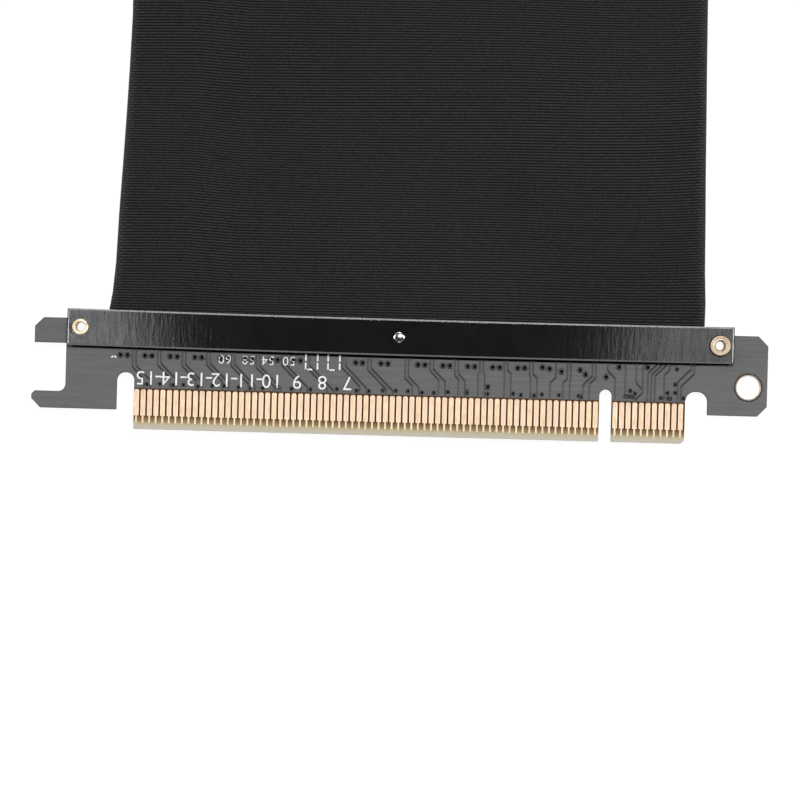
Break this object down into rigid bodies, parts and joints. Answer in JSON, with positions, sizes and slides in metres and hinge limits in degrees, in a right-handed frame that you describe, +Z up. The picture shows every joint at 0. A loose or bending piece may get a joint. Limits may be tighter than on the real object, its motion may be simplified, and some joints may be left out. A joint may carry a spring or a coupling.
{
  "type": "pcie riser cable",
  "caption": "Flat shielded riser cable that carries an expansion slot away from a main board: card-edge plug board at one end, slot on its own board at the other.",
  "frame": {"origin": "centre of the footprint, on the surface the riser lies on", "axes": "+X along the contact rows, from the hooked end of the plug to its screw ear; +Y along the cable, from plug to slot; +Z up out of the front faces and out of the slot's mouth"},
  "size_m": [0.1122, 0.2434, 0.0154],
  "materials": {
    "solder_mask": "satin black solder mask on glass-fibre board",
    "gold_plate": "gold plated",
    "black_bar": "glossy black lacquer",
    "eyelet_brass": "turned and rolled",
    "rivet_steel": "polished",
    "ribbon_jacket": "satin jacket",
    "woven_sleeve": "fine cross-ribbed weave",
    "slot_plastic": "moulded, fine grain"
  },
  "bodies": {
    "root": {"plug_board": "solder_mask", "plug_contacts_front": "gold_plate", "plug_contacts_back": "gold_plate", "plug_bar_front": "black_bar", "plug_bar_back": "black_bar", "plug_eyelet_left": "eyelet_brass", "plug_eyelet_right": "eyelet_brass", "plug_rivet": "rivet_steel", "ribbon_front_outer": "ribbon_jacket", "ribbon_front_inner": "ribbon_jacket", "ribbon_back_inner": "ribbon_jacket", "ribbon_back_outer": "ribbon_jacket", "sleeve": "woven_sleeve", "socket_bar_front": "black_bar", "socket_bar_back": "black_bar", "socket_eyelet_left": "eyelet_brass", "socket_eyelet_right": "eyelet_brass", "socket_rivet": "rivet_steel", "socket_board": "solder_mask", "slot_housing": "slot_plastic", "slot_contacts_front": "gold_plate", "slot_contacts_back": "gold_plate"}
  },
  "joints": []
}
